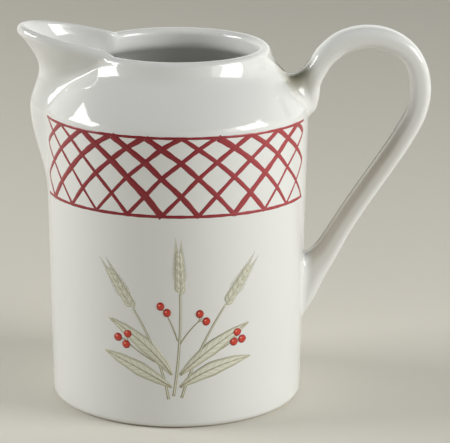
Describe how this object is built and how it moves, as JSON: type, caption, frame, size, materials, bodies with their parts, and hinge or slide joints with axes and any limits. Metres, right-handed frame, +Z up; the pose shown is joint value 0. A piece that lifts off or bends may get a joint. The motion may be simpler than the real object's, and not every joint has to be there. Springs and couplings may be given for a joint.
{
  "type": "cream jug",
  "caption": "Small glazed porcelain cream jug with a closed-in neck, a wide pouring spout and a tall strap handle, decorated with a red trellis band and a spray of grain.",
  "frame": {"origin": "on the jug's axis, in the plane of the foot ring that it stands on", "axes": "+Z up along the jug's axis, -X towards the pouring spout, +X towards the handle, +Y to the jug's right-hand side seen from the handle"},
  "size_m": [0.1193, 0.0764, 0.1098],
  "materials": {
    "glazed_porcelain": "clear glossy glaze over a slightly warm, slightly green white body, with a bare biscuit ring under the foot",
    "red_enamel": "dark red ceramic enamel, fired on to the glaze, glossy, with painterly lines of uneven width",
    "sage_enamel": "sage, olive grey and cream ceramic enamel with a few red berries, fired on to the glaze, glossy"
  },
  "bodies": {
    "root": {"body": "glazed_porcelain", "spout": "glazed_porcelain", "handle": "glazed_porcelain", "lattice_transfer_front": "red_enamel", "lattice_transfer_back": "red_enamel", "spray_transfer_front": "sage_enamel", "spray_transfer_back": "sage_enamel"}
  },
  "joints": []
}
